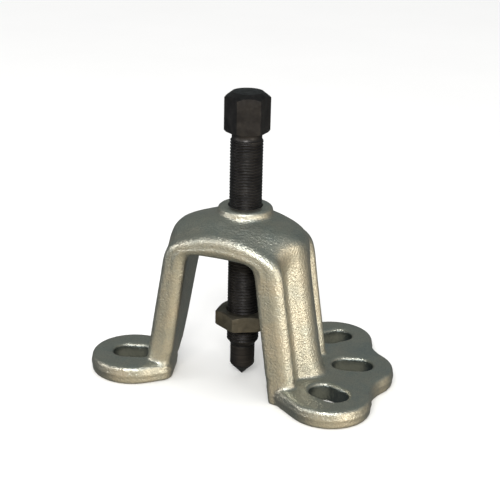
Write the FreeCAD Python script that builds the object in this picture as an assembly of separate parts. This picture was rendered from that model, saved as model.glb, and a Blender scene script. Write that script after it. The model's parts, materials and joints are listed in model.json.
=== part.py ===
import FreeCAD
import Part
import math
import os

# Gear and hub puller: a forged two-legged yoke that bolts to a wheel hub, and a forcing
# screw that runs through its boss. Millimetres. The screw stands on the Z axis, the
# undersides of the feet lie on z = 0, and +X runs towards the three-slotted foot.

vector = FreeCAD.Vector
axis_z = vector(0, 0, 1)

# Bolting pattern in the feet
stud_circle_radius = 55.3       # every slot is centred on this radius and points at the screw
slot_spacing_angle = 36.0       # half of a five-stud hub's 72 degrees
slot_width = 13.8
slot_length = 20.0
slot_edge_radius = 2.2
foot_thickness = 9.4
foot_edge_radius = 2.6
lobe_radius = 20.2
left_pad_radius = 20.9
waist_radius = 25.0             # hollow between two lobes of the wide foot
foot_bottom_radius = 1.6
corner_radius = 6.0             # corners under the legs' inner faces
wide_leg_foot_x = 24.2          # inner face of the wide leg at the floor, in the arch's frame
pad_corner_radius = 7.5
pad_corners = ((-41.5, -8.0), (-41.5, 6.0))  # centres of the pad's rounded corners

# Arch of the yoke, drawn in its own frame, which is turned about the screw
arch_turn = -18.0               # the wide leg stands between two of its slots
front_plane = -25.0
wide_leg_back = 25.0
narrow_leg_back = 1.0
narrow_leg_skew = 0.20          # the narrow leg's faces lean this far back per mm of width
channel_start = (0.25, 0.48)    # shares between which the channel beside the middle rib deepens
channel_end = (0.64, 0.84)      # shares between which it rises to the edge rib
outer_points = 25
inner_points = 13
side_points = 4

# Boss
boss_top = 90.2
boss_radius = 13.4
boss_edge_radius = 2.2
boss_base = 76.0
boss_fillet_radius = 4.0
boss_flank = 4.0                # how far the flank runs outwards and down, inside the saddle
boss_height = 2.3               # upright part above the fillet
bore_bottom = 60.0              # the bore's cutter starts in the open space under the arch
countersink_depth = 0.6

# Forcing screw, M16 x 1.5
thread_radius = 7.9
running_clearance = 0.05
bore_radius = thread_radius + running_clearance
head_underside = 126.2
head_height = 19.0
head_across_flats = 19.0
head_chamfer_angle = 38.0
head_flat_radius = 7.4
head_bottom_radius = 10.0       # washer-like round on the underside, inside the corners
head_bottom_angle = 32.0
head_turn = -110.6              # direction of one of the head's corners
neck_length = 3.6
neck_radius = 7.3
shoulder_z = 20.4               # where the thread ends
shoulder_drop = 2.7             # chamfer from the thread to the pilot

# Centre point that swivels in the end of the screw
tip_z = 0.4
pilot_radius = 6.1
cone_height = 6.2
stem_radius = 3.0
stem_length = 14.0
stem_clearance = 0.05
swivel_gap = 0.15
ring_wire_radius = 0.6
ring_circle_radius = 3.1        # middle line of the wire
ring_height = 8.0               # above the pilot's top face
ring_opening_angle = 40.0
ring_groove_clearance = 0.1
socket_clearance = 0.5          # above the stem's end

# Jam nut, M16, 24 mm across flats
nut_bottom = 28.1
nut_thickness = 8.0
nut_across_flats = 24.0
nut_chamfer_angle = 25.0
nut_face_radius = 11.3
nut_countersink = 0.8
nut_turn = -106.8               # direction of one of the nut's corners

# Stations up each side of the arch: inner face, outer edge and outer middle, each as (x, z)
# measured from the middle of the arch; the middle rib's flat top and the foot of its flank,
# as shares of the half width; the depth of the channels beside the rib; and how far the first
# points round an outer and an inner corner lie from that corner.
narrow_stations = [
    ((28.0, 6.8), (40.1, 6.8), (42.8, 6.8), 0.14, 0.50, 1.0, 1.6, 3.2),
    ((27.6, 8.0), (40.0, 8.0), (42.6, 8.0), 0.14, 0.50, 1.0, 1.6, 3.2),
    ((27.0, 9.6), (39.8, 9.6), (42.0, 9.6), 0.14, 0.50, 1.0, 1.6, 3.2),
    ((25.6, 15.5), (38.5, 15.5), (40.1, 15.5), 0.14, 0.50, 1.0, 1.6, 3.2),
    ((23.0, 31.0), (36.0, 31.0), (37.4, 31.0), 0.14, 0.50, 1.0, 1.6, 3.2),
    ((20.8, 47.0), (33.3, 47.0), (34.7, 47.0), 0.14, 0.50, 1.0, 1.6, 3.2),
    ((19.5, 56.0), (31.7, 56.0), (33.1, 57.0), 0.14, 0.55, 0.8, 1.6, 3.2),
    ((18.7, 61.5), (30.8, 62.0), (31.9, 65.0), 0.14, 0.65, 0.5, 1.6, 3.2),
    ((17.9, 65.4), (29.9, 66.6), (30.4, 71.0), 0.12, 0.80, 0.2, 1.6, 3.0),
    ((16.4, 67.8), (28.0, 71.0), (29.6, 76.0), 0.10, 0.95, 0.0, 1.6, 2.8),
    ((13.2, 68.7), (24.0, 73.6), (27.4, 80.8), 0.10, 1.05, 0.0, 1.7, 2.6),
    ((9.0, 68.8), (17.5, 76.3), (20.8, 83.6), 0.18, 1.05, 0.0, 1.8, 2.4),
    ((4.5, 68.8), (8.8, 78.6), (10.5, 86.2), 0.34, 1.08, 0.0, 1.8, 2.3),
    ((0.0, 68.8), (0.0, 79.4), (0.0, 87.0), 0.42, 1.08, 0.0, 1.8, 2.2),
]
wide_stations = [
    ((26.2, -0.5), (40.9, -0.5), (50.5, -0.5), 0.04, 0.50, 3.4, 3.8, 1.4),
    ((25.4, 5.0), (40.6, 5.0), (49.0, 5.0), 0.04, 0.50, 3.4, 3.8, 1.4),
    ((24.7, 9.6), (39.9, 9.6), (46.8, 9.6), 0.04, 0.50, 3.4, 3.8, 1.4),
    ((23.9, 15.5), (38.7, 15.5), (43.6, 15.5), 0.04, 0.50, 3.4, 3.8, 1.4),
    ((21.7, 31.0), (36.3, 31.0), (41.0, 31.0), 0.04, 0.50, 3.4, 3.8, 1.4),
    ((19.5, 47.0), (33.8, 47.0), (38.3, 47.0), 0.04, 0.50, 3.4, 3.8, 1.4),
    ((18.3, 56.0), (32.5, 56.0), (36.7, 57.0), 0.04, 0.50, 3.4, 3.8, 1.4),
    ((17.6, 61.5), (31.6, 62.0), (35.5, 65.0), 0.04, 0.52, 3.1, 3.6, 1.4),
    ((16.8, 65.4), (30.5, 66.6), (34.9, 71.5), 0.04, 0.58, 2.2, 3.2, 1.5),
    ((15.4, 67.4), (28.5, 70.8), (33.9, 76.4), 0.14, 0.75, 0.8, 2.6, 1.7),
    ((12.8, 68.6), (24.5, 73.5), (30.2, 80.0), 0.18, 1.00, 0.0, 2.2, 1.9),
    ((9.0, 68.8), (17.8, 76.2), (23.5, 83.2), 0.25, 1.05, 0.0, 1.9, 2.0),
    ((4.5, 68.8), (9.0, 78.5), (11.5, 86.2), 0.36, 1.08, 0.0, 1.8, 2.1),
]
arch_middle_x = -2.0


def polar(radius, angle):
    a = math.radians(angle)
    return vector(radius * math.cos(a), radius * math.sin(a), 0)


def smooth(t):
    t = max(0.0, min(1.0, t))
    return t * t * (3.0 - 2.0 * t)


def share_to_wide_side(x):
    # 0 on the narrow leg, 1 on the wide leg, changing smoothly over the arch
    return smooth((x + 30.0) / 36.0)


def spread(count):
    return [2.0 * k / (count - 1.0) - 1.0 for k in range(count)]


def section_ring(half, thickness, outer_corner, inner_corner):
    # Walk round a rounded rectangle as (a, b): a is 0 inside and 1 outside, b is -1 to 1 across
    low = inner_corner / thickness
    high = 1.0 - outer_corner / thickness
    sides = [low + (high - low) * (b + 1.0) / 2.0 for b in spread(side_points)]
    ring = [(1.0, (1.0 - outer_corner / half) * b) for b in spread(outer_points)]
    ring += [(a, 1.0) for a in reversed(sides)]
    ring += [(0.0, (inner_corner / half - 1.0) * b) for b in spread(inner_points)]
    return ring + [(a, -1.0) for a in sides]


def arch_section(station, side):
    # Ring of points round the arch, whose outer side has a middle rib between two channels
    inner, edge, middle, crest, flank, depth, outer_corner, inner_corner = station
    share = share_to_wide_side(side * inner[0])
    back = narrow_leg_back + (wide_leg_back - narrow_leg_back) * share
    half = (back - front_plane) / 2.0
    skew = narrow_leg_skew * (1.0 - share)
    thickness = math.hypot(edge[0] - inner[0], edge[1] - inner[1])
    points = []
    for a, b in section_ring(half, thickness, outer_corner, inner_corner):
        rise = 1.0 - smooth((abs(b) - crest) / (flank - crest))
        fall = smooth((abs(b) - channel_start[0]) / (channel_start[1] - channel_start[0]))
        fall *= 1.0 - smooth((abs(b) - channel_end[0]) / (channel_end[1] - channel_end[0]))
        dip = fall * depth / thickness
        outer_x = edge[0] + rise * (middle[0] - edge[0]) - dip * (edge[0] - inner[0])
        outer_z = edge[1] + rise * (middle[1] - edge[1]) - dip * (edge[1] - inner[1])
        x = side * (inner[0] + a * (outer_x - inner[0])) + arch_middle_x
        y = front_plane + half * (b + 1.0)
        z = inner[1] + a * (outer_z - inner[1])
        points.append(vector(x - skew * (y - front_plane), y, z))
    return points


def make_arch():
    # The rings are the poles of one smooth surface, clamped at the two legs' ends
    rings = [arch_section(station, -1.0) for station in narrow_stations]
    rings += [arch_section(station, 1.0) for station in reversed(wide_stations)]
    along = len(rings)
    around = len(rings[0])
    surface = Part.BSplineSurface()
    surface.buildFromPolesMultsKnots(
        rings, [4] + [1] * (along - 4) + [4], [1] * (around + 1),
        list(range(along - 2)), list(range(around + 1)), False, True, 3, 3)
    skin = surface.toShape()
    ends = [Part.Face(Part.Wire([edge])) for edge in skin.Edges if edge.BoundBox.ZLength < 0.001]
    arch = Part.Solid(Part.Shell([skin] + ends))
    arch.fix(1e-4, 1e-4, 1e-3)
    if arch.Volume < 0.0:
        arch.reverse()
    arch.rotate(vector(0, 0, 0), axis_z, arch_turn)
    return arch


def slab(outline, bottom, top):
    return Part.Face(outline).extrude(vector(0, 0, top - bottom))


def rounded_edges(solid, radius, wanted):
    edges = [edge for edge in solid.Edges if wanted(edge)]
    return solid.makeFillet(radius, edges)


def is_level_at(z):
    def test(edge):
        box = edge.BoundBox
        return abs(box.ZMin - z) < 0.01 and abs(box.ZMax - z) < 0.01
    return test


def meeting_points(first, second):
    # Where the outline leaves one disc and reaches the next, with the inside on its left
    centre_1, radius_1, hollow_1 = first
    centre_2, radius_2, hollow_2 = second
    along = centre_2 - centre_1
    distance = along.Length
    along = along * (1.0 / distance)
    if hollow_1 or hollow_2:
        touch = centre_1 + along * radius_1
        return touch, touch
    lean = (radius_1 - radius_2) / distance
    outwards = vector(along.y, -along.x, 0) * math.sqrt(1.0 - lean * lean) + along * lean
    return centre_1 + outwards * radius_1, centre_2 + outwards * radius_2


def belt(discs):
    # Outline that runs round discs anticlockwise: outside a solid one, inside a hollow one
    count = len(discs)
    joins = [meeting_points(discs[k], discs[(k + 1) % count]) for k in range(count)]
    edges = []
    for k in range(count):
        centre, radius, hollow = discs[k]
        start, end = joins[k - 1][1], joins[k][0]
        turn_1 = math.atan2(start.y - centre.y, start.x - centre.x)
        turn_2 = math.atan2(end.y - centre.y, end.x - centre.x)
        if hollow:
            sweep = -((turn_1 - turn_2) % (2.0 * math.pi))
        else:
            sweep = (turn_2 - turn_1) % (2.0 * math.pi)
        middle = centre + polar(radius, math.degrees(turn_1 + sweep / 2.0))
        edges.append(Part.Arc(start, middle, end).toShape())
        if (joins[k][1] - end).Length > 0.001:
            edges.append(Part.makeLine(end, joins[k][1]))
    return Part.Wire(edges)


def hollow_between(first, second, radius):
    # Hollow disc that touches two solid discs from outside
    along = second[0] - first[0]
    distance = along.Length
    along = along * (1.0 / distance)
    reach_1 = first[1] + radius
    reach_2 = second[1] + radius
    forwards = (reach_1 ** 2 - reach_2 ** 2 + distance ** 2) / (2.0 * distance)
    sideways = math.sqrt(reach_1 ** 2 - forwards ** 2)
    centre = first[0] + along * forwards + vector(along.y, -along.x, 0) * sideways
    return centre, radius, True


def lobed_outline():
    # Three lobes on the stud circle with hollow waists, and two corners under the wide leg
    lobes = [(polar(stud_circle_radius, angle), lobe_radius, False)
             for angle in (-slot_spacing_angle, 0.0, slot_spacing_angle)]
    back_corner, front_corner = [
        (polar(wide_leg_foot_x + corner_radius, arch_turn) + polar(across, arch_turn + 90.0),
         corner_radius, False)
        for across in (wide_leg_back - corner_radius, front_plane + corner_radius)]
    return belt([
        lobes[0],
        hollow_between(lobes[0], lobes[1], waist_radius),
        lobes[1],
        hollow_between(lobes[1], lobes[2], waist_radius),
        lobes[2],
        hollow_between(lobes[2], back_corner, corner_radius),
        back_corner,
        front_corner,
    ])


def pad_outline():
    # Round pad that is squared off where the narrow leg rises
    discs = [(vector(-stud_circle_radius, 0, 0), left_pad_radius, False)]
    discs += [(vector(x, y, 0), pad_corner_radius, False) for x, y in pad_corners]
    return belt(discs)


def slot_tool(angle):
    # Slot that runs along its radius, with a rounded mouth on the upper side
    half = (slot_length - slot_width) / 2.0
    radius = slot_width / 2.0

    def stadium(extra, z):
        r = radius + extra
        corners = [vector(-half, -r, z), vector(half, -r, z), vector(half, r, z), vector(-half, r, z)]
        return Part.Wire([
            Part.makeLine(corners[0], corners[1]),
            Part.Arc(corners[1], vector(half + r, 0, z), corners[2]).toShape(),
            Part.makeLine(corners[2], corners[3]),
            Part.Arc(corners[3], vector(-half - r, 0, z), corners[0]).toShape(),
        ])

    through = slab(stadium(0.0, -1.0), 0.0, foot_thickness + 2.0)
    rings = []
    for step in (0.0, 30.0, 60.0, 90.0):
        a = math.radians(step)
        extra = slot_edge_radius * (1.0 - math.cos(a))
        z = foot_thickness - slot_edge_radius * (1.0 - math.sin(a))
        rings.append(stadium(extra + 0.001 * step, z))
    mouth = Part.makeLoft(rings, True, True)
    tool = through.fuse(mouth)
    tool.translate(vector(stud_circle_radius, 0, 0))
    tool.rotate(vector(0, 0, 0), axis_z, angle)
    return tool


def make_foot(outline):
    foot = slab(outline, 0.0, foot_thickness)
    foot = rounded_edges(foot, foot_edge_radius, is_level_at(foot_thickness))
    return rounded_edges(foot, foot_bottom_radius, is_level_at(0.0))


def make_boss():
    # Round boss whose side curves out into a 45 degree flank that runs down into the saddle
    r = boss_radius
    e = boss_edge_radius
    fillet_top = boss_top - boss_height
    turn = math.radians(22.5)
    half_way = vector(r + boss_fillet_radius * (1.0 - math.cos(turn)), 0,
                      fillet_top - boss_fillet_radius * math.sin(turn))
    flank_top = vector(r + boss_fillet_radius * (1.0 - math.cos(2.0 * turn)), 0,
                       fillet_top - boss_fillet_radius * math.sin(2.0 * turn))
    flank_foot = flank_top + vector(boss_flank, 0, -boss_flank)
    edge_centre = vector(r - e, 0, boss_top - e)
    edge_middle = edge_centre + vector(e, 0, e) * math.sqrt(0.5)
    profile = [
        Part.makeLine(vector(0, 0, boss_base), vector(flank_foot.x, 0, boss_base)),
        Part.makeLine(vector(flank_foot.x, 0, boss_base), flank_foot),
        Part.makeLine(flank_foot, flank_top),
        Part.Arc(flank_top, half_way, vector(r, 0, fillet_top)).toShape(),
        Part.makeLine(vector(r, 0, fillet_top), vector(r, 0, boss_top - e)),
        Part.Arc(vector(r, 0, boss_top - e), edge_middle, vector(r - e, 0, boss_top)).toShape(),
        Part.makeLine(vector(r - e, 0, boss_top), vector(0, 0, boss_top)),
        Part.makeLine(vector(0, 0, boss_top), vector(0, 0, boss_base)),
    ]
    return Part.Face(Part.Wire(profile)).revolve(vector(0, 0, 0), axis_z, 360)


def cylinder(radius, bottom, top):
    return Part.makeCylinder(radius, top - bottom, vector(0, 0, bottom))


def cone(bottom_radius, top_radius, bottom, top):
    return Part.makeCone(bottom_radius, top_radius, top - bottom, vector(0, 0, bottom))


def make_yoke():
    under_floor = Part.makeBox(200, 200, 20, vector(-100, -100, -20))
    yoke = make_arch().cut(under_floor)
    yoke = yoke.fuse(make_boss())
    yoke = yoke.fuse(make_foot(pad_outline()))
    yoke = yoke.fuse(make_foot(lobed_outline()))
    for angle in (180.0, -slot_spacing_angle, 0.0, slot_spacing_angle):
        yoke = yoke.cut(slot_tool(angle))
    yoke = yoke.cut(cylinder(bore_radius, bore_bottom, boss_top + 1.0))
    mouth_radius = bore_radius + countersink_depth
    yoke = yoke.cut(cone(bore_radius, mouth_radius, boss_top - countersink_depth, boss_top))
    return yoke.removeSplitter()


def hexagon_prism(across_flats, bottom, top, turn):
    corner_radius = across_flats / math.sqrt(3.0)
    corners = [polar(corner_radius, turn + 60.0 * k) for k in range(7)]
    prism = Part.Face(Part.makePolygon(corners)).extrude(vector(0, 0, top - bottom))
    prism.translate(vector(0, 0, bottom))
    return prism


def cone_cap(flat_radius, angle, flat_z, upwards):
    # Long round bar that tapers to a flat circle at flat_z, to trim a hexagon's corners
    reach = 30.0
    length = 60.0
    drop = (reach - flat_radius) * math.tan(math.radians(angle))
    if upwards:
        bar = cylinder(reach, flat_z - length, flat_z - drop)
        return bar.fuse(cone(reach, flat_radius, flat_z - drop, flat_z))
    bar = cylinder(reach, flat_z + drop, flat_z + length)
    return bar.fuse(cone(flat_radius, reach, flat_z, flat_z + drop))


def make_head():
    top = head_underside + head_height
    head = hexagon_prism(head_across_flats, head_underside, top, head_turn)
    head = head.common(cone_cap(head_flat_radius, head_chamfer_angle, top, True))
    return head.common(cone_cap(head_bottom_radius, head_bottom_angle, head_underside, False))


def make_forcing_screw():
    screw = cylinder(thread_radius, shoulder_z, head_underside)
    end_z = shoulder_z - shoulder_drop
    screw = screw.fuse(cone(pilot_radius, thread_radius, end_z, shoulder_z))
    relief = cylinder(thread_radius + 1.0, head_underside - neck_length, head_underside)
    relief = relief.cut(cylinder(neck_radius, head_underside - neck_length, head_underside))
    screw = screw.cut(relief).fuse(make_head())
    socket_top = end_z + stem_length + socket_clearance
    screw = screw.cut(cylinder(stem_radius + stem_clearance, end_z - 1.0, socket_top))
    groove_z = end_z - swivel_gap + ring_height
    groove_radius = ring_circle_radius + ring_wire_radius + ring_groove_clearance
    half_groove = ring_wire_radius + ring_groove_clearance
    groove = cylinder(groove_radius, groove_z - half_groove, groove_z + half_groove)
    return screw.cut(groove).removeSplitter()


def make_centre_point():
    top = shoulder_z - shoulder_drop - swivel_gap
    body = cone(0.0, pilot_radius, tip_z, tip_z + cone_height)
    body = body.fuse(cylinder(pilot_radius, tip_z + cone_height, top))
    body = body.fuse(cylinder(stem_radius, top, top + stem_length))
    groove_wire = ring_wire_radius + ring_groove_clearance / 2.0
    groove = Part.makeTorus(ring_circle_radius, groove_wire, vector(0, 0, top + ring_height))
    return body.cut(groove).removeSplitter()


def make_point_ring():
    # Split wire ring that holds the centre point's stem in the screw
    z = shoulder_z - shoulder_drop - swivel_gap + ring_height
    return Part.makeTorus(ring_circle_radius, ring_wire_radius, vector(0, 0, z), axis_z, 0, 360,
                          360.0 - ring_opening_angle)


def make_jam_nut():
    top = nut_bottom + nut_thickness
    nut = hexagon_prism(nut_across_flats, nut_bottom, top, nut_turn)
    nut = nut.common(cone_cap(nut_face_radius, nut_chamfer_angle, top, True))
    nut = nut.common(cone_cap(nut_face_radius, nut_chamfer_angle, nut_bottom, False))
    nut = nut.cut(cylinder(bore_radius, nut_bottom - 1.0, top + 1.0))
    mouth_radius = bore_radius + nut_countersink
    nut = nut.cut(cone(bore_radius, mouth_radius, top - nut_countersink, top))
    lower_mouth = cone(mouth_radius, bore_radius, nut_bottom, nut_bottom + nut_countersink)
    return nut.cut(lower_mouth).removeSplitter()


def export(name, shape):
    assert shape.isValid(), name
    solids = shape.Solids
    shape = solids[0] if len(solids) == 1 else shape
    shape.exportStep(os.path.join("parts", name + ".step"))
    print(name, "solids", len(solids), "volume", round(shape.Volume, 1))


def main():
    os.makedirs("parts", exist_ok=True)
    export("yoke", make_yoke())
    export("forcing_screw", make_forcing_screw())
    export("centre_point", make_centre_point())
    export("point_retaining_ring", make_point_ring())
    export("jam_nut", make_jam_nut())


main()
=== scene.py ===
import json
import math

import bmesh
import bpy
import numpy as np
from mathutils import Matrix, Vector


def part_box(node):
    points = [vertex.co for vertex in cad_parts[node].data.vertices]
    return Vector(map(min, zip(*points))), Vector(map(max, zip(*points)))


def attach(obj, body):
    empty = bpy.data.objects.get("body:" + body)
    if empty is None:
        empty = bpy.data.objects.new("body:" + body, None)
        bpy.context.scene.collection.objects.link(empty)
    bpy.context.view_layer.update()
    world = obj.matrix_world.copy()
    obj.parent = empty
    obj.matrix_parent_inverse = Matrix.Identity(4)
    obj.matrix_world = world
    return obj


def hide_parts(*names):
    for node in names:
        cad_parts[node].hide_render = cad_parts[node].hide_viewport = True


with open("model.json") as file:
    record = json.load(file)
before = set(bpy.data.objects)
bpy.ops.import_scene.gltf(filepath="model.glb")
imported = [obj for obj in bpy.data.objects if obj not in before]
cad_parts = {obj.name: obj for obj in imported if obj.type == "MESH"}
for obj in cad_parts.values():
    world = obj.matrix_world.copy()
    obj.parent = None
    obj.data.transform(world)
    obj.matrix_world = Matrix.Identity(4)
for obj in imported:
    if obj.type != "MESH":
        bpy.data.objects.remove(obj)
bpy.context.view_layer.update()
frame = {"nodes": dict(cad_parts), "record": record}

mm = 0.001
print("frame loaded:", len(frame["nodes"]), "nodes")


def closedGrid(points):
    # quads of a grid whose second direction runs round and closes on itself,
    # with the first and last rows each closed by a flat face
    rows, around = points.shape[:2]
    index = np.arange(rows * around).reshape(rows, around)
    a, b = index[:-1], index[1:]
    quads = np.stack([a, np.roll(a, -1, 1), np.roll(b, -1, 1), b], -1).reshape(-1, 4)
    return quads, [list(index[0][::-1]), list(index[-1])]


def makeMesh(name, points, quads, caps=()):
    # vertices in millimetres become a mesh in metres
    faces = quads.tolist() + [list(map(int, cap)) for cap in caps]
    mesh = bpy.data.meshes.new(name)
    mesh.from_pydata((points.reshape(-1, 3) * mm).tolist(), [], faces)
    mesh.update()
    work = bmesh.new()
    work.from_mesh(mesh)
    bmesh.ops.recalc_face_normals(work, faces=work.faces[:])
    work.to_mesh(mesh)
    work.free()
    piece = bpy.data.objects.new(name, mesh)
    bpy.context.scene.collection.objects.link(piece)
    return piece


def tube(name, points):
    # solid from a grid of closed rings, capped at both ends
    quads, caps = closedGrid(points)
    return makeMesh(name, points, quads, caps)


def revolved(name, profile, segments, centre=(0.0, 0.0)):
    # profile of (radius, z) turned about an upright axis: (r cos t, r sin t, z)
    profile = np.asarray(profile, float)
    t = np.linspace(0, 2 * math.pi, segments, endpoint=False)
    x = centre[0] + profile[:, :1] * np.cos(t)
    y = centre[1] + profile[:, :1] * np.sin(t)
    z = np.repeat(profile[:, 1:], segments, 1)
    return tube(name, np.stack([x, y, z], -1))


def applyModifiers(piece):
    bpy.context.view_layer.update()
    deps = bpy.context.evaluated_depsgraph_get()
    mesh = bpy.data.meshes.new_from_object(piece.evaluated_get(deps))
    piece.modifiers.clear()
    old = piece.data
    piece.data = mesh
    mesh.name = piece.name
    bpy.data.meshes.remove(old)


def boolean(piece, tool, operation):
    cut = piece.modifiers.new("cut", "BOOLEAN")
    cut.operation = operation
    cut.solver = "EXACT"
    cut.object = tool
    applyModifiers(piece)
    bpy.data.objects.remove(tool)


def smoothShade(piece, angle=180.0):
    piece.data.polygons.foreach_set("use_smooth", np.ones(len(piece.data.polygons), bool))
    if angle < 180.0:
        piece.data.set_sharp_from_angle(angle=math.radians(angle))
    piece.data.update()


def smoothStep(t):
    t = np.clip(t, 0.0, 1.0)
    return t * t * (3.0 - 2.0 * t)


def turned(points, degrees):
    # points turned about the upright axis
    a = math.radians(degrees)
    x = points[..., 0] * math.cos(a) - points[..., 1] * math.sin(a)
    y = points[..., 0] * math.sin(a) + points[..., 1] * math.cos(a)
    return np.stack([x, y, points[..., 2]], -1)


def polar(radius, degrees):
    return np.array([radius * math.cos(math.radians(degrees)), radius * math.sin(math.radians(degrees))])


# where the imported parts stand, in millimetres
yokeLow, yokeHigh = [np.array(corner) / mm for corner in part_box("yoke")]
screwLow, screwHigh = [np.array(corner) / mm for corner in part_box("forcing_screw")]
pointLow, pointHigh = [np.array(corner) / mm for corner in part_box("centre_point")]
nutLow, nutHigh = [np.array(corner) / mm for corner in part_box("jam_nut")]
studRadius = frame["record"]["mounts"][0]["dims"]["spacing_x_mm"] / 2.0
slotRadius = frame["record"]["mounts"][0]["dims"]["hole_r_mm"]
slotLength = frame["record"]["mounts"][0]["dims"]["slot_length_mm"]


# the forged yoke: arch, boss and two feet run together and smoothed where they meet
forging = {
    "archTurn": -18.0,            # degrees about the screw
    "frontPlane": -25.0,
    "wideBack": 25.0,
    "narrowBack": 1.0,
    "narrowSkew": 0.20,
    "middleX": -2.0,
    "channelStart": (0.25, 0.48),
    "channelEnd": (0.64, 0.84),
    "outerPoles": 25,
    "innerPoles": 13,
    "sidePoles": 4,
    "ridgeHeight": 0.55,          # parting line left by the dies
    "ridgeWidth": 0.30,
    "ridgeShift": 0.5,            # the line lies nearer the arch's underside
    "bossRadius": 13.4,
    "bossEdge": 2.2,
    "landing": 0.25,              # gap left under the screw's head when it is wound right down
    "bossFillet": 4.0,
    "bossRise": 2.3,
    "boreRadius": 7.95,
    "countersink": 0.5,
    "footThickness": 9.4,
    "footEdge": 2.6,
    "footBottomEdge": 1.5,
    "footRidge": 0.45,
    "lobeRadius": 20.2,
    "padRadius": 20.9,
    "waistRadius": 25.0,
    "cornerRadius": 6.0,
    "padCornerRadius": 7.5,
    "padCorners": ((-41.5, -8.0), (-41.5, 6.0)),
    "slotMouth": 2.1,
    "voxel": 0.68,
}

# up each side of the arch: inner face, outer edge and outer middle, each as (x, z), then the
# middle rib's flat top, the foot of its flank, the depth of the channels beside it and how
# far the poles beside an outer and an inner corner lie from that corner
narrowStations = [
    ((28.0, 6.8), (40.1, 6.8), (42.8, 6.8), 0.14, 0.50, 1.0, 1.6, 3.2),
    ((27.6, 8.0), (40.0, 8.0), (42.6, 8.0), 0.14, 0.50, 1.0, 1.6, 3.2),
    ((27.0, 9.6), (39.8, 9.6), (42.0, 9.6), 0.14, 0.50, 1.0, 1.6, 3.2),
    ((25.6, 15.5), (38.5, 15.5), (40.1, 15.5), 0.14, 0.50, 1.0, 1.6, 3.2),
    ((23.0, 31.0), (36.0, 31.0), (37.4, 31.0), 0.14, 0.50, 1.0, 1.6, 3.2),
    ((20.8, 47.0), (33.3, 47.0), (34.7, 47.0), 0.14, 0.50, 1.0, 1.6, 3.2),
    ((19.5, 56.0), (31.7, 56.0), (33.1, 57.0), 0.14, 0.55, 0.8, 1.6, 3.2),
    ((18.7, 61.5), (30.8, 62.0), (31.9, 65.0), 0.14, 0.65, 0.5, 1.6, 3.2),
    ((17.9, 65.4), (29.9, 66.6), (30.4, 71.0), 0.12, 0.80, 0.2, 1.6, 3.0),
    ((16.4, 67.8), (28.0, 71.0), (29.6, 76.0), 0.10, 0.95, 0.0, 1.6, 2.8),
    ((13.2, 68.7), (24.0, 73.6), (27.4, 80.8), 0.10, 1.05, 0.0, 1.7, 2.6),
    ((9.0, 68.8), (17.5, 76.3), (20.8, 83.6), 0.18, 1.05, 0.0, 1.8, 2.4),
    ((4.5, 68.8), (8.8, 78.6), (10.5, 86.2), 0.34, 1.08, 0.0, 1.8, 2.3),
    ((0.0, 68.8), (0.0, 79.4), (0.0, 87.0), 0.42, 1.08, 0.0, 1.8, 2.2),
]
wideStations = [
    ((26.2, -0.5), (40.9, -0.5), (50.5, -0.5), 0.04, 0.50, 3.4, 3.8, 1.4),
    ((25.4, 5.0), (40.6, 5.0), (49.0, 5.0), 0.04, 0.50, 3.4, 3.8, 1.4),
    ((24.7, 9.6), (39.9, 9.6), (46.8, 9.6), 0.04, 0.50, 3.4, 3.8, 1.4),
    ((23.9, 15.5), (38.7, 15.5), (43.6, 15.5), 0.04, 0.50, 3.4, 3.8, 1.4),
    ((21.7, 31.0), (36.3, 31.0), (41.0, 31.0), 0.04, 0.50, 3.4, 3.8, 1.4),
    ((19.5, 47.0), (33.8, 47.0), (38.3, 47.0), 0.04, 0.50, 3.4, 3.8, 1.4),
    ((18.3, 56.0), (32.5, 56.0), (36.7, 57.0), 0.04, 0.50, 3.4, 3.8, 1.4),
    ((17.6, 61.5), (31.6, 62.0), (35.5, 65.0), 0.04, 0.52, 3.1, 3.6, 1.4),
    ((16.8, 65.4), (30.5, 66.6), (34.9, 71.5), 0.04, 0.58, 2.2, 3.2, 1.5),
    ((15.4, 67.4), (28.5, 70.8), (33.9, 76.4), 0.14, 0.75, 0.8, 2.6, 1.7),
    ((12.8, 68.6), (24.5, 73.5), (30.2, 80.0), 0.18, 1.00, 0.0, 2.2, 1.9),
    ((9.0, 68.8), (17.8, 76.2), (23.5, 83.2), 0.25, 1.05, 0.0, 1.9, 2.0),
    ((4.5, 68.8), (9.0, 78.5), (11.5, 86.2), 0.36, 1.08, 0.0, 1.8, 2.1),
]


def pathWeights(count, u):
    # cubic B-spline weights of `count` poles at u in 0..1, clamped at both ends
    knots = np.concatenate([np.zeros(3), np.arange(count - 2.0), np.full(3, count - 3.0)])
    t = np.clip(u * (count - 3.0), 0.0, count - 3.0 - 1e-9)
    weights = ((knots[:-1, None] <= t) & (t < knots[1:, None])).astype(float)
    for degree in (1, 2, 3):
        span = knots[degree:] - knots[:-degree]
        span = np.where(span > 0, span, 1.0)[:, None]
        rising = (t - knots[:-degree, None]) / span
        weights = rising[:-1] * weights[:-1] + (1.0 - rising[1:]) * weights[1:]
    return weights.T


def ringWeights(count, s):
    # uniform cubic B-spline weights of a closed ring of poles at s in 0..count
    k = np.floor(s).astype(int)
    f = s - k
    parts = [(1 - f) ** 3, 3 * f ** 3 - 6 * f ** 2 + 4, -3 * f ** 3 + 3 * f ** 2 + 3 * f + 1, f ** 3]
    weights = np.zeros((len(s), count))
    rows = np.arange(len(s))
    for shift, part in enumerate(parts):
        weights[rows, (k + shift - 1) % count] += part / 6.0
    return weights


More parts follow.
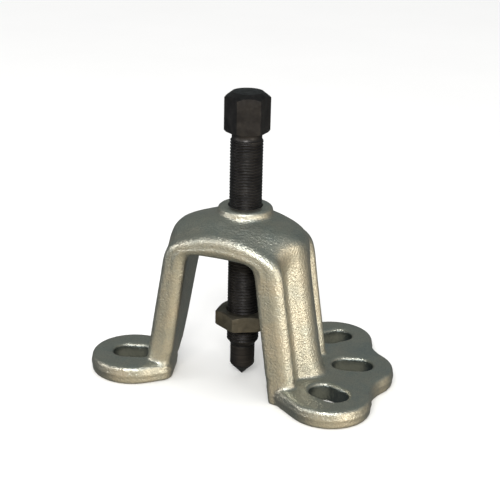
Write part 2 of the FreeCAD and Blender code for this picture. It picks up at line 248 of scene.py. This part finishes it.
def archPoles(p):
    # each ring is a rounded rectangle (a through the thickness, b across the width); its outer
    # side rises to a middle rib, dips into a channel on each side of it and ends in an edge rib
    stations = narrowStations + wideStations[::-1]
    inner, edge, middle = [np.array([station[k] for station in stations]) for k in range(3)]
    crest, flank, depth, outerCorner, innerCorner = np.array([station[3:] for station in stations]).T
    side = np.where(np.arange(len(stations)) < len(narrowStations), -1.0, 1.0)
    share = smoothStep((side * inner[:, 0] + 30.0) / 36.0)
    half = (p["narrowBack"] + (p["wideBack"] - p["narrowBack"]) * share - p["frontPlane"]) / 2.0
    skew = p["narrowSkew"] * (1.0 - share)
    thickness = np.hypot(*(edge - inner).T)
    depth = depth / thickness
    low, high = (innerCorner / thickness)[:, None], (1.0 - outerCorner / thickness)[:, None]
    sides = low + (high - low) * np.linspace(0, 1, p["sidePoles"])
    top, bottom = np.ones((len(stations), p["outerPoles"])), np.zeros((len(stations), p["innerPoles"]))
    acrossOuter = (1.0 - outerCorner / half)[:, None] * np.linspace(-1, 1, p["outerPoles"])
    acrossInner = (1.0 - innerCorner / half)[:, None] * np.linspace(1, -1, p["innerPoles"])
    ends = np.ones(sides.shape)
    a = np.concatenate([top, sides[:, ::-1], bottom, sides], 1)
    b = np.concatenate([acrossOuter, ends, acrossInner, -ends], 1)
    size = np.abs(b)
    rise = 1.0 - smoothStep((size - crest[:, None]) / (flank - crest)[:, None])
    start, end = p["channelStart"], p["channelEnd"]
    fall = smoothStep((size - start[0]) / (start[1] - start[0]))
    fall = fall * (1.0 - smoothStep((size - end[0]) / (end[1] - end[0]))) * depth[:, None]
    outer = edge[:, None] + rise[..., None] * (middle - edge)[:, None]
    outer = outer - fall[..., None] * (edge - inner)[:, None]
    point = inner[:, None] + a[..., None] * (outer - inner[:, None])
    y = p["frontPlane"] + half[:, None] * (b + 1.0)
    x = side[:, None] * point[..., 0] + p["middleX"] - skew[:, None] * (y - p["frontPlane"])
    return np.stack([x, y, point[..., 1]], -1)


def makeArch(p, alongSteps=330, aroundSteps=250):
    # the poles blended by B-spline weights along the arch and round its section, with a thin
    # ridge pushed out along the middle of each narrow side
    poles = archPoles(p)
    around = poles.shape[1]
    u = np.linspace(0, 1, alongSteps)
    s = np.linspace(0, around, aroundSteps, endpoint=False)
    points = np.einsum("un,nmc,vm->uvc", pathWeights(len(poles), u), poles, ringWeights(around, s))
    points[..., 2] = np.maximum(points[..., 2], 0.05)
    sideMiddle = (p["sidePoles"] - 1) / 2.0
    backRidge = p["outerPoles"] + sideMiddle + p["ridgeShift"]
    frontRidge = p["outerPoles"] + p["sidePoles"] + p["innerPoles"] + sideMiddle - p["ridgeShift"]
    fade = smoothStep((points[:, :1, 2] - 58.0) / 12.0)
    for place, direction in ((backRidge, 1.0), (frontRidge, -1.0)):
        ridge = np.exp(-((s - place) / p["ridgeWidth"]) ** 2)
        points[..., 1] += direction * p["ridgeHeight"] * fade * ridge
    return tube("arch", turned(points, p["archTurn"]))


def touchPoints(first, second):
    # where a belt leaves one disc and reaches the next, keeping the inside on its left
    centre1, radius1, hollow1 = first
    centre2, radius2, hollow2 = second
    along = centre2 - centre1
    distance = np.hypot(*along)
    along = along / distance
    if hollow1 or hollow2:
        touch = centre1 + along * radius1
        return touch, touch
    lean = (radius1 - radius2) / distance
    outwards = np.array([along[1], -along[0]]) * math.sqrt(1.0 - lean * lean) + along * lean
    return centre1 + outwards * radius1, centre2 + outwards * radius2


def hollowBetween(first, second, radius):
    # hollow disc that touches two solid discs from outside
    along = second[0] - first[0]
    distance = np.hypot(*along)
    along = along / distance
    reach1, reach2 = first[1] + radius, second[1] + radius
    forwards = (reach1 ** 2 - reach2 ** 2 + distance ** 2) / (2.0 * distance)
    sideways = math.sqrt(reach1 ** 2 - forwards ** 2)
    return first[0] + along * forwards + np.array([along[1], -along[0]]) * sideways, radius, True


def beltOutline(discs, step=0.7):
    # closed outline round the discs: arcs outside the solid ones and inside the hollow ones
    joins = [touchPoints(discs[k], discs[(k + 1) % len(discs)]) for k in range(len(discs))]
    runs = []
    for k, (centre, radius, hollow) in enumerate(discs):
        start, end = joins[k - 1][1] - centre, joins[k][0] - centre
        turn1, turn2 = math.atan2(start[1], start[0]), math.atan2(end[1], end[0])
        sweep = (turn2 - turn1) % (2 * math.pi)
        if hollow:
            sweep -= 2 * math.pi
        t = turn1 + np.linspace(0, sweep, max(3, int(abs(sweep) * radius / step)))
        runs.append(centre + radius * np.stack([np.cos(t), np.sin(t)], -1))
        gap = joins[k][1] - joins[k][0]
        steps = int(np.hypot(*gap) / step)
        if steps > 1:
            share = np.linspace(0, 1, steps, endpoint=False)[1:, None]
            runs.append(joins[k][0] + share * gap)
    outline = np.concatenate(runs)
    keep = np.hypot(*(outline - np.roll(outline, 1, 0)).T) > 0.05
    return outline[keep]


def makeFoot(name, outline, p):
    # the outline carried up a profile of (inset, z): quarter rounds at both rims and a ridge
    ahead = np.roll(outline, -1, 0) - np.roll(outline, 1, 0)
    inwards = np.stack([-ahead[:, 1], ahead[:, 0]], -1) / np.hypot(*ahead.T)[:, None]
    top, bottom = p["footEdge"], p["footBottomEdge"]
    t = np.linspace(0, math.pi / 2, 9)
    wallZ = np.linspace(bottom, p["footThickness"] - top, 12)[1:-1]
    inset = np.concatenate([bottom * (1 - np.sin(t)), np.zeros(len(wallZ)), top * (1 - np.cos(t))])
    z = np.concatenate([bottom * (1 - np.cos(t)), wallZ, p["footThickness"] - top * (1 - np.sin(t))])
    inset = inset - p["footRidge"] * np.exp(-((z - 0.5 * p["footThickness"]) / 0.8) ** 2)
    flat = outline[None] + inset[:, None, None] * inwards[None]
    height = np.repeat(z[:, None], len(outline), 1)
    return tube(name, np.concatenate([flat, height[..., None]], -1))


def lobedOutline(p):
    lobes = [(polar(studRadius, angle), p["lobeRadius"], False) for angle in (-36, 0, 36)]
    corner = p["cornerRadius"]
    middle = polar(24.2 + corner, p["archTurn"])
    back, front = [(middle + polar(across, p["archTurn"] + 90), corner, False)
                   for across in (p["wideBack"] - corner, p["frontPlane"] + corner)]
    waist = p["waistRadius"]
    return beltOutline([lobes[0], hollowBetween(lobes[0], lobes[1], waist), lobes[1],
                        hollowBetween(lobes[1], lobes[2], waist), lobes[2],
                        hollowBetween(lobes[2], back, corner), back, front])


def padOutline(p):
    corners = [(np.array(place), p["padCornerRadius"], False) for place in p["padCorners"]]
    return beltOutline([(np.array([-studRadius, 0.0]), p["padRadius"], False)] + corners)


def makeBoss(p):
    # upright rim, then a hollow quarter round out into the saddle: r = R + f (1 - cos t)
    top = yokeHigh[2] - p["landing"]
    r, f = p["bossRadius"], p["bossFillet"]
    t = np.linspace(0, math.pi / 2.3, 14)
    rimT = np.linspace(0, math.pi / 2, 7)
    e = p["bossEdge"]
    rim = np.stack([r - e * (1 - np.cos(rimT)), top - e + e * np.sin(rimT)], -1)[::-1]
    skirt = np.stack([r + f * (1 - np.cos(t)), top - p["bossRise"] - f * np.sin(t)], -1)
    foot = [[skirt[-1, 0] + 0.2, 76.0], [1.0, 76.0]]
    inner = [[1.0, top]]
    return revolved("boss", np.concatenate([inner, rim, skirt, foot]), 200)


def slotCutter(angle, p):
    # stadium r(t) grown by a quarter-round mouth above: extra = m (1 - cos s)
    half = slotLength / 2.0 - slotRadius
    t = np.linspace(0, 2 * math.pi, 96, endpoint=False)
    s = np.linspace(0, math.pi / 2, 9)
    m = p["slotMouth"]
    extra = np.concatenate([[0.9, 0.9, 0.0], m * (1 - np.cos(s)), [m]])
    z = np.concatenate([[-1.0, 0.0, 0.9], p["footThickness"] - m + m * np.sin(s), [p["footThickness"] + 8.0]])
    radius = slotRadius + extra[:, None]
    x = radius * np.cos(t) + half * np.sign(np.cos(t)) * np.minimum(1.0, np.abs(np.cos(t)) * 9.0)
    y = radius * np.sin(t)
    points = np.stack([x + studRadius, y, np.repeat(z[:, None], len(t), 1)], -1)
    return tube("slot_cutter", turned(points, angle))


def relax(piece, strengthOf, rounds):
    # each round moves a vertex towards the mean of its neighbours by its own share
    mesh = piece.data
    co = np.empty(len(mesh.vertices) * 3)
    mesh.vertices.foreach_get("co", co)
    co = co.reshape(-1, 3)
    pairs = np.empty(len(mesh.edges) * 2, np.int64)
    mesh.edges.foreach_get("vertices", pairs)
    i, j = pairs.reshape(-1, 2).T
    count = np.bincount(i, minlength=len(co)) + np.bincount(j, minlength=len(co))
    for _ in range(rounds):
        total = np.stack([np.bincount(i, co[j, k], len(co)) + np.bincount(j, co[i, k], len(co))
                          for k in range(3)], -1)
        co += strengthOf(co / mm)[:, None] * (total / count[:, None] - co)
    co[:, 2] = np.maximum(co[:, 2], 0.0)
    mesh.vertices.foreach_set("co", co.ravel())
    mesh.update()


def near(points, low, high, falloff):
    # 1 inside a band of a measure, falling smoothly to 0 over `falloff` on both sides
    return smoothStep((points - low) / falloff + 1.0) * smoothStep((high - points) / falloff + 1.0)


def blendStrength(points):
    # strong round the boss's foot and where the legs stand on the feet, light elsewhere
    reach = np.hypot(points[:, 0], points[:, 1])
    boss = near(reach, 15.0, 21.0, 2.0) * near(points[:, 2], 79.0, 86.5, 1.0)
    feet = near(points[:, 2], 9.8, 13.5, 1.2)
    return 0.55 * np.clip(boss + feet, 0.0, 1.0)


def paintRecessShade(piece, p):
    # painted shade for the walls of the slots and the bore: a point attribute that is 1 on those walls and falls to 0
    # outside them, so the colour there is darkened as shade would darken it; a slot's wall lies slotRadius from the
    # slot's middle line
    co = np.empty(len(piece.data.vertices) * 3)
    piece.data.vertices.foreach_get("co", co)
    co = co.reshape(-1, 3) / mm
    painted_recess_shade = smoothStep((p["boreRadius"] + 0.4 - np.hypot(co[:, 0], co[:, 1])) / 0.4)
    half = slotLength / 2.0 - slotRadius
    for angle in (180.0, -36.0, 0.0, 36.0):
        there = turned(co, -angle)
        along = np.maximum(np.abs(there[:, 0] - studRadius) - half, 0.0)
        reach = np.hypot(along, there[:, 1]) - slotRadius
        wall = smoothStep((0.5 - reach) / 0.4) * (co[:, 2] < p["footThickness"] + 1.0)
        painted_recess_shade = np.maximum(painted_recess_shade, wall)
    shade = piece.data.attributes.new("painted_recess_shade", "FLOAT", "POINT")
    shade.data.foreach_set("value", painted_recess_shade.astype(np.float32))


def makeYoke(p):
    boss = makeBoss(p)
    arch = makeArch(p)
    feet = [makeFoot("lobed_foot", lobedOutline(p), p), makeFoot("round_foot", padOutline(p), p)]
    top = yokeHigh[2] - p["landing"]
    z = np.array([60.0, top - p["countersink"], top, top + 3.0])
    bore = [[p["boreRadius"], z[0]], [p["boreRadius"], z[1]],
            [p["boreRadius"] + p["countersink"], z[2]], [p["boreRadius"] + p["countersink"], z[3]]]
    solids = [arch, boss] + feet
    with bpy.context.temp_override(active_object=arch, object=arch, selected_objects=solids,
                                   selected_editable_objects=solids):
        bpy.ops.object.join()
    remesh = arch.modifiers.new("one_skin", "REMESH")
    remesh.mode = "VOXEL"
    remesh.voxel_size = p["voxel"] * mm
    applyModifiers(arch)
    relax(arch, lambda points: np.full(len(points), 0.5), 2)
    relax(arch, blendStrength, 14)
    for angle in (180.0, -36.0, 0.0, 36.0):
        boolean(arch, slotCutter(angle, p), "DIFFERENCE")
    boolean(arch, revolved("bore", bore, 120), "DIFFERENCE")
    # painted shade on the slot and bore walls, read by the yoke's material
    paintRecessShade(arch, p)
    arch.name = arch.data.name = "forged_yoke"
    smoothShade(arch, 50.0)
    return arch


# the forcing screw: a right-hand thread cut as a helix, an undercut neck and a hex head
screw = {
    "major": 7.9,
    "depth": 0.62,
    "pitch": 1.5,
    "stepsPerPitch": 9,
    "around": 84,
    "shoulder": 20.4,
    "drop": 2.7,
    "pilotRadius": 6.1,
    "neckLength": 3.6,
    "neckRadius": 7.25,
    "headUnderside": 126.2,
    "acrossFlats": 19.0,
    "headTurn": -110.6,
    "topFlat": 7.4,
    "topAngle": 38.0,
    "bottomFlat": 10.0,
    "bottomAngle": 32.0,
}


def makeThread(p):
    # radius = major - depth * triangle(z / pitch - turn), run out smoothly at both ends
    top = p["headUnderside"] - p["neckLength"]
    low = p["shoulder"] - 1.0
    rows = int((top - low) / p["pitch"] * p["stepsPerPitch"])
    z = np.linspace(low, top, rows)[:, None]
    turn = np.linspace(0, 1, p["around"], endpoint=False)[None]
    phase = (z / p["pitch"] - turn) % 1.0
    groove = np.clip(1.25 - 3.1 * np.abs(phase - 0.5), 0.0, 1.0)
    ends = smoothStep((z - low) / 1.6) * smoothStep((top - z) / 1.2)
    radius = p["major"] - p["depth"] * groove * ends
    chamfer = np.minimum(p["major"] - 0.75 + 0.9 * (z - low), p["major"] - 0.5 + 0.9 * (top - z))
    radius = np.minimum(radius, chamfer)
    ring = np.stack([radius * np.cos(2 * math.pi * turn), radius * np.sin(2 * math.pi * turn),
                     np.broadcast_to(z, radius.shape)], -1)
    end = p["shoulder"] - p["drop"]
    t = 2 * math.pi * turn[0]
    tail = [ring0(p["pilotRadius"] - 0.1, end, t), ring0(p["pilotRadius"] + 0.15, end + 0.2, t)]
    neck = [ring0(p["neckRadius"], top + 0.1, t), ring0(p["neckRadius"], p["headUnderside"] - 0.5, t),
            ring0(p["neckRadius"] + 0.5, p["headUnderside"] + 0.3, t)]
    return tube("screw_thread", np.concatenate([np.stack(tail), ring, np.stack(neck)]))


def ring0(radius, z, t):
    return np.stack([radius * np.cos(t), radius * np.sin(t), np.full(len(t), z)], -1)


def hexRadius(acrossFlats, turnDegrees, t):
    # distance to the side of a hexagon whose corner points along turnDegrees
    inside = (t - math.radians(turnDegrees)) % (math.pi / 3) - math.pi / 6
    return acrossFlats / 2.0 / np.cos(inside)


def hexBody(name, p, bottom, top, stepsPerSide=22, bore=None):
    # prism of hexagonal radius h(t) whose corners are cut by a cone at each end:
    # the side starts where the cone flat + (z - end) / tan(angle) reaches h(t)
    t = math.radians(p["turn"]) + np.linspace(0, 2 * math.pi, 6 * stepsPerSide, endpoint=False)
    h = hexRadius(p["acrossFlats"], p["turn"], t)
    rise = math.tan(math.radians(p["topAngle"]))
    fall = math.tan(math.radians(p["bottomAngle"]))
    rows = []
    share = np.linspace(0, 1, 6)
    bottomFlat = np.minimum(h, p["bottomFlat"])
    topFlat = np.minimum(h, p["topFlat"])
    if bore is None:
        rows.append((np.full(len(t), 1.0), np.full(len(t), bottom)))
    else:
        rows.append((np.full(len(t), bore), np.full(len(t), bottom + p["mouth"])))
        rows.append((np.full(len(t), bore + p["mouth"]), np.full(len(t), bottom)))
    for s in share:
        r = bottomFlat + s * (h - bottomFlat)
        rows.append((r, bottom + (r - bottomFlat) * fall))
    for s in share[1:-1]:
        lowZ = bottom + (h - bottomFlat) * fall
        highZ = top - (h - topFlat) * rise
        rows.append((h, lowZ + s * (highZ - lowZ)))
    for s in share[::-1]:
        r = topFlat + s * (h - topFlat)
        rows.append((r, top - (r - topFlat) * rise))
    if bore is None:
        rows.append((np.full(len(t), 1.0), np.full(len(t), top)))
    else:
        rows.append((np.full(len(t), bore + p["mouth"]), np.full(len(t), top)))
        rows.append((np.full(len(t), bore), np.full(len(t), top - p["mouth"])))
    points = np.stack([np.stack([r * np.cos(t), r * np.sin(t), z], -1) for r, z in rows])
    if bore is None:
        return tube(name, points)
    quads, _ = closedGrid(np.concatenate([points, points[:1]]))
    count = points.shape[0] * points.shape[1]
    return makeMesh(name, points, quads % count)


def softenEdges(piece, width, angle=24.0):
    bevel = piece.modifiers.new("worn_edges", "BEVEL")
    bevel.width = width * mm
    bevel.segments = 3
    bevel.limit_method = "ANGLE"
    bevel.angle_limit = math.radians(angle)
    applyModifiers(piece)


def makeScrew(p):
    thread = makeThread(p)
    head = dict(p, turn=p["headTurn"])
    hexHead = hexBody("screw_head", head, p["headUnderside"], screwHigh[2])
    merge(hexHead)
    softenEdges(hexHead, 0.32)
    smoothShade(hexHead, 35.0)
    smoothShade(thread, 60.0)
    with bpy.context.temp_override(active_object=thread, object=thread,
                                   selected_objects=[thread, hexHead],
                                   selected_editable_objects=[thread, hexHead]):
        bpy.ops.object.join()
    thread.name = thread.data.name = "threaded_screw"
    return thread


def merge(piece, distance=0.002):
    work = bmesh.new()
    work.from_mesh(piece.data)
    bmesh.ops.remove_doubles(work, verts=work.verts[:], dist=distance * mm)
    bmesh.ops.recalc_face_normals(work, faces=work.faces[:])
    work.to_mesh(piece.data)
    work.free()


nut = {
    "acrossFlats": 24.0,
    "turn": -106.8,
    "topFlat": 11.3,
    "topAngle": 25.0,
    "bottomFlat": 13.2,
    "bottomAngle": 25.0,
    "mouth": 0.8,
    "bore": 7.95,
}


def makeNut(p):
    piece = hexBody("hex_jam_nut", p, nutLow[2], nutHigh[2], bore=p["bore"])
    merge(piece)
    softenEdges(piece, 0.35)
    smoothShade(piece, 35.0)
    return piece


centre = {"pilot": 6.1, "cone": 6.2, "stem": 3.0, "stemLength": 14.0, "toolMark": 0.03}


def makeCentrePoint(p):
    # turned profile with fine tool marks: r = pilot + mark * sin(z / 0.42 mm)
    tip = pointLow[2]
    shoulder = pointHigh[2] - p["stemLength"]
    coneT = np.linspace(0.06, 1, 14)
    cone = np.stack([p["pilot"] * coneT, tip + p["cone"] * coneT], -1)
    cone[-1, 0] -= 0.25
    wallZ = np.arange(tip + p["cone"] + 0.3, shoulder - 0.4, 0.14)
    wall = np.stack([p["pilot"] - p["toolMark"] + p["toolMark"] * np.sin(wallZ / 0.42 * 2 * math.pi), wallZ], -1)
    end = [[p["pilot"] - 0.05, shoulder - 0.35], [p["pilot"] - 0.4, shoulder], [p["stem"], shoulder],
           [p["stem"], pointHigh[2] - 0.4], [p["stem"] - 0.4, pointHigh[2]]]
    first = [[0.12, tip + 0.02]]
    piece = revolved("turned_centre_point", np.concatenate([first, cone, wall, end]), 96)
    smoothShade(piece, 40.0)
    return piece


# materials
def newMaterial(name, **sockets):
    material = bpy.data.materials.new(name)
    material.use_nodes = True
    tree = material.node_tree
    shader = tree.nodes["Principled BSDF"]
    for socket, value in sockets.items():
        shader.inputs[socket.replace("_", " ")].default_value = value
    return material, tree, shader


def noise(tree, scale, detail=3.0, roughness=0.55, distortion=0.0, stretch=(1, 1, 1)):
    # noise on object coordinates, in features per metre
    place = tree.nodes.new("ShaderNodeTexCoord")
    mapping = tree.nodes.new("ShaderNodeMapping")
    mapping.inputs["Scale"].default_value = stretch
    texture = tree.nodes.new("ShaderNodeTexNoise")
    texture.inputs["Scale"].default_value = scale
    texture.inputs["Detail"].default_value = detail
    texture.inputs["Roughness"].default_value = roughness
    texture.inputs["Distortion"].default_value = distortion
    tree.links.new(place.outputs["Object"], mapping.inputs["Vector"])
    tree.links.new(mapping.outputs["Vector"], texture.inputs["Vector"])
    return texture.outputs["Fac"]


def ramp(tree, source, stops):
    node = tree.nodes.new("ShaderNodeValToRGB")
    elements = node.color_ramp.elements
    while len(elements) < len(stops):
        elements.new(0.5)
    for element, (place, colour) in zip(elements, stops):
        element.position = place
        element.color = (*colour, 1.0)
    tree.links.new(source, node.inputs["Fac"])
    return node.outputs["Color"]


def mix(tree, factor, first, second, kind="MIX"):
    node = tree.nodes.new("ShaderNodeMix")
    node.data_type = "RGBA"
    node.blend_type = kind
    for socket, value in ((node.inputs["Factor"], factor), (node.inputs[6], first), (node.inputs[7], second)):
        if isinstance(value, bpy.types.NodeSocket):
            tree.links.new(value, socket)
        elif isinstance(value, (int, float)):
            socket.default_value = value
        else:
            socket.default_value = (*value, 1.0)
    return node.outputs[2]


def span(tree, source, low, high, outLow, outHigh):
    node = tree.nodes.new("ShaderNodeMapRange")
    node.inputs["From Min"].default_value = low
    node.inputs["From Max"].default_value = high
    node.inputs["To Min"].default_value = outLow
    node.inputs["To Max"].default_value = outHigh
    tree.links.new(source, node.inputs["Value"])
    return node.outputs["Result"]


def bump(tree, shader, layers):
    # layers of (height source, distance in mm, strength), laid one on another
    last = None
    for source, distance, strength in layers:
        node = tree.nodes.new("ShaderNodeBump")
        node.inputs["Distance"].default_value = distance * mm
        node.inputs["Strength"].default_value = strength
        tree.links.new(source, node.inputs["Height"])
        if last is not None:
            tree.links.new(last, node.inputs["Normal"])
        last = node.outputs["Normal"]
    tree.links.new(last, shader.inputs["Normal"])


def zincMaterial():
    # zinc plate over a shot-blasted forging: fine dimples, faint straw and blue-grey passivate, and painted shade on
    # the slot and bore walls
    material, tree, shader = newMaterial("zinc_plated_forging", Metallic=1.0)
    tint = ramp(tree, noise(tree, 70.0, 4.0, 0.6, 0.4),
                [(0.30, (0.50, 0.52, 0.47)), (0.50, (0.58, 0.57, 0.49)), (0.70, (0.64, 0.60, 0.50))])
    grain = noise(tree, 900.0, 3.0, 0.6)
    speck = ramp(tree, noise(tree, 1300.0, 2.0, 0.5), [(0.38, (0.74, 0.74, 0.78)), (0.56, (1.0, 1.0, 1.0))])
    colour = mix(tree, 0.5, tint, speck, "MULTIPLY")
    # painted shade: the slot and bore walls are mixed towards a dark blue-grey, standing in for the shadow inside them
    painted_recess_shade = tree.nodes.new("ShaderNodeAttribute")
    painted_recess_shade.attribute_name = "painted_recess_shade"
    colour = mix(tree, painted_recess_shade.outputs["Fac"], colour, (0.15, 0.175, 0.175))
    tree.links.new(colour, shader.inputs["Base Color"])
    tree.links.new(span(tree, noise(tree, 260.0, 3.0), 0.3, 0.7, 0.30, 0.40), shader.inputs["Roughness"])
    bump(tree, shader, [(noise(tree, 180.0, 2.0), 0.3, 0.4), (grain, 0.42, 0.8),
                        (noise(tree, 1900.0, 2.0, 0.6), 0.1, 0.7)])
    return material


def blackOxideMaterial(name, turned=False):
    # black oxide, lightly oiled: nearly black, a soft sheen and rubbed brown-grey crests
    material, tree, shader = newMaterial(name, Metallic=0.85)
    stretch = (0.25, 0.25, 6.0) if turned else (1, 1, 1)
    tint = ramp(tree, noise(tree, 220.0, 4.0, 0.6, 0.2, stretch),
                [(0.32, (0.020, 0.019, 0.020)), (0.60, (0.036, 0.034, 0.034)), (0.80, (0.060, 0.055, 0.052))])
    tree.links.new(tint, shader.inputs["Base Color"])
    tree.links.new(span(tree, noise(tree, 500.0, 3.0), 0.3, 0.7, 0.34, 0.52), shader.inputs["Roughness"])
    bump(tree, shader, [(noise(tree, 1400.0, 3.0, 0.6, 0.0, stretch), 0.04, 0.4)])
    return material


def nutMaterial():
    # dark heat-treated steel with faces left slightly drawn
    material, tree, shader = newMaterial("plain_nut_steel", Metallic=0.9)
    tint = ramp(tree, noise(tree, 160.0, 4.0, 0.6, 0.3),
                [(0.30, (0.075, 0.070, 0.058)), (0.55, (0.125, 0.115, 0.092)), (0.78, (0.19, 0.175, 0.145))])
    tree.links.new(tint, shader.inputs["Base Color"])
    tree.links.new(span(tree, noise(tree, 420.0, 3.0), 0.3, 0.7, 0.40, 0.58), shader.inputs["Roughness"])
    bump(tree, shader, [(noise(tree, 900.0, 3.0, 0.6), 0.08, 0.5)])
    return material


def springMaterial():
    material, tree, shader = newMaterial("spring_wire", Metallic=1.0)
    tint = ramp(tree, noise(tree, 900.0, 3.0, 0.6), [(0.3, (0.26, 0.26, 0.27)), (0.7, (0.42, 0.42, 0.43))])
    tree.links.new(tint, shader.inputs["Base Color"])
    tree.links.new(span(tree, noise(tree, 1500.0, 3.0), 0.3, 0.7, 0.22, 0.36), shader.inputs["Roughness"])
    bump(tree, shader, [(noise(tree, 4000.0, 2.0), 0.02, 0.4)])
    return material


def dress(piece, material):
    piece.data.materials.clear()
    piece.data.materials.append(material)


yokePiece = makeYoke(forging)
print("yoke made:", len(yokePiece.data.polygons), "faces")
screwPiece = makeScrew(screw)
print("screw made:", len(screwPiece.data.polygons), "faces")
nutPiece = makeNut(nut)
pointPiece = makeCentrePoint(centre)
print("nut and centre point made")

blackOxide = blackOxideMaterial("black_oxide_steel")
dress(yokePiece, zincMaterial())
dress(screwPiece, blackOxide)
dress(nutPiece, nutMaterial())
dress(pointPiece, blackOxideMaterial("black_oxide_turned", turned=True))
dress(frame["nodes"]["point_retaining_ring"], springMaterial())

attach(yokePiece, "yoke")
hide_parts("yoke")
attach(screwPiece, "screw")
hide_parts("forcing_screw")
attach(nutPiece, "nut")
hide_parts("jam_nut")
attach(pointPiece, "point")
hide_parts("centre_point")


# studio: pale floor, soft lights and the camera
studio = {
    "floorSize": 4.0,
    "floorColour": (0.93, 0.93, 0.925),
    "azimuth": 5.57,
    "elevation": 20.556,
    "roll": 1.243,
    "distance": 0.58479,
    "aimHeight": 0.06663,
    "lens": 86.635,
    "shiftX": 0.01102,
}


def makeFloor(p):
    # one flat square with a faint mottling
    half = p["floorSize"] / 2.0
    corners = np.array([[-half, -half, 0.0], [half, -half, 0.0], [half, half, 0.0], [-half, half, 0.0]]) / mm
    floor = makeMesh("studio_floor", corners, np.array([[0, 1, 2, 3]]))
    material, tree, shader = newMaterial("pale_floor", Roughness=0.9)
    shader.inputs["Specular IOR Level"].default_value = 0.1
    base = np.array(p["floorColour"])
    tint = ramp(tree, noise(tree, 6.0), [(0.3, tuple(base * 0.985)), (0.7, tuple(base))])
    tree.links.new(tint, shader.inputs["Base Color"])
    dress(floor, material)
    floor.visible_glossy = False
    return floor


def makeWorld():
    # what the metal mirrors: warm in front and below, dim behind, cool grey overhead
    world = bpy.data.worlds.new("studio_world")
    bpy.context.scene.world = world
    world.use_nodes = True
    tree = world.node_tree
    background = tree.nodes["Background"]
    place = tree.nodes.new("ShaderNodeTexCoord")
    split = tree.nodes.new("ShaderNodeSeparateXYZ")
    tree.links.new(place.outputs["Generated"], split.inputs["Vector"])
    height = span(tree, split.outputs["Z"], -1.0, 1.0, 0.0, 1.0)
    turnedAway = tree.nodes.new("ShaderNodeVectorMath")
    turnedAway.operation = "DOT_PRODUCT"
    turnedAway.inputs[1].default_value = (-0.5, 1.0, 0.0)
    tree.links.new(place.outputs["Generated"], turnedAway.inputs[0])
    ahead = span(tree, turnedAway.outputs["Value"], 0.2, -0.6, 0.0, 1.0)
    front = ramp(tree, height, [(0.0, (0.66, 0.58, 0.43)), (0.38, (0.84, 0.72, 0.54)),
                                (0.60, (0.70, 0.64, 0.53)), (0.82, (0.34, 0.375, 0.375)), (1.0, (0.18, 0.215, 0.215))])
    behind = ramp(tree, height, [(0.0, (0.10, 0.11, 0.11)), (0.45, (0.12, 0.13, 0.13)),
                                 (0.62, (0.15, 0.17, 0.17)), (0.85, (0.17, 0.20, 0.20)), (1.0, (0.18, 0.215, 0.215))])
    mirrored = mix(tree, ahead, behind, front)
    path = tree.nodes.new("ShaderNodeLightPath")
    seen = mix(tree, path.outputs["Is Glossy Ray"], (0.97, 0.97, 0.97), mirrored)
    tree.links.new(seen, background.inputs["Color"])
    background.inputs["Strength"].default_value = 1.0


def softLight(name, place, aim, size, power, colour):
    light = bpy.data.lights.new(name, "AREA")
    light.shape = "RECTANGLE"
    light.size, light.size_y = size
    light.energy = power
    light.color = colour
    lamp = bpy.data.objects.new(name, light)
    lamp.location = place
    lamp.rotation_euler = (Vector(aim) - Vector(place)).to_track_quat("-Z", "Y").to_euler()
    bpy.context.scene.collection.objects.link(lamp)


def makeCamera(p):
    # orbit about the screw at the given azimuth and elevation, then roll about the line of sight
    az, el, roll = [math.radians(p[key]) for key in ("azimuth", "elevation", "roll")]
    back = Vector((math.sin(az) * math.cos(el), -math.cos(az) * math.cos(el), math.sin(el)))
    right = Vector((math.cos(az), math.sin(az), 0.0))
    up = back.cross(right)
    rolledRight = math.cos(roll) * right + math.sin(roll) * up
    rolledUp = -math.sin(roll) * right + math.cos(roll) * up
    camera = bpy.data.objects.new("camera", bpy.data.cameras.new("camera"))
    camera.data.sensor_width = 36.0
    camera.data.lens = p["lens"]
    camera.data.shift_x = p["shiftX"]
    camera.data.dof.use_dof = False
    axes = Matrix((rolledRight, rolledUp, back)).transposed()
    place = Vector((0.0, 0.0, p["aimHeight"])) + p["distance"] * back
    camera.matrix_world = Matrix.Translation(place) @ axes.to_4x4()
    bpy.context.scene.collection.objects.link(camera)
    bpy.context.scene.camera = camera


makeFloor(studio)
makeWorld()
aim = (0.0, 0.0, 0.06)
softLight("front_high", (-0.02, -0.95, 0.72), aim, (0.5, 0.16), 8.0, (1.0, 1.0, 0.98))
softLight("right_soft", (0.75, -0.66, 0.02), aim, (0.4, 0.5), 3.2, (1.0, 0.93, 0.80))
softLight("left_soft", (-0.95, -0.35, 0.35), aim, (0.3, 0.3), 2.0, (1.0, 0.97, 0.92))
makeCamera(studio)
bpy.context.scene.view_settings.view_transform = "Standard"
print("studio set")
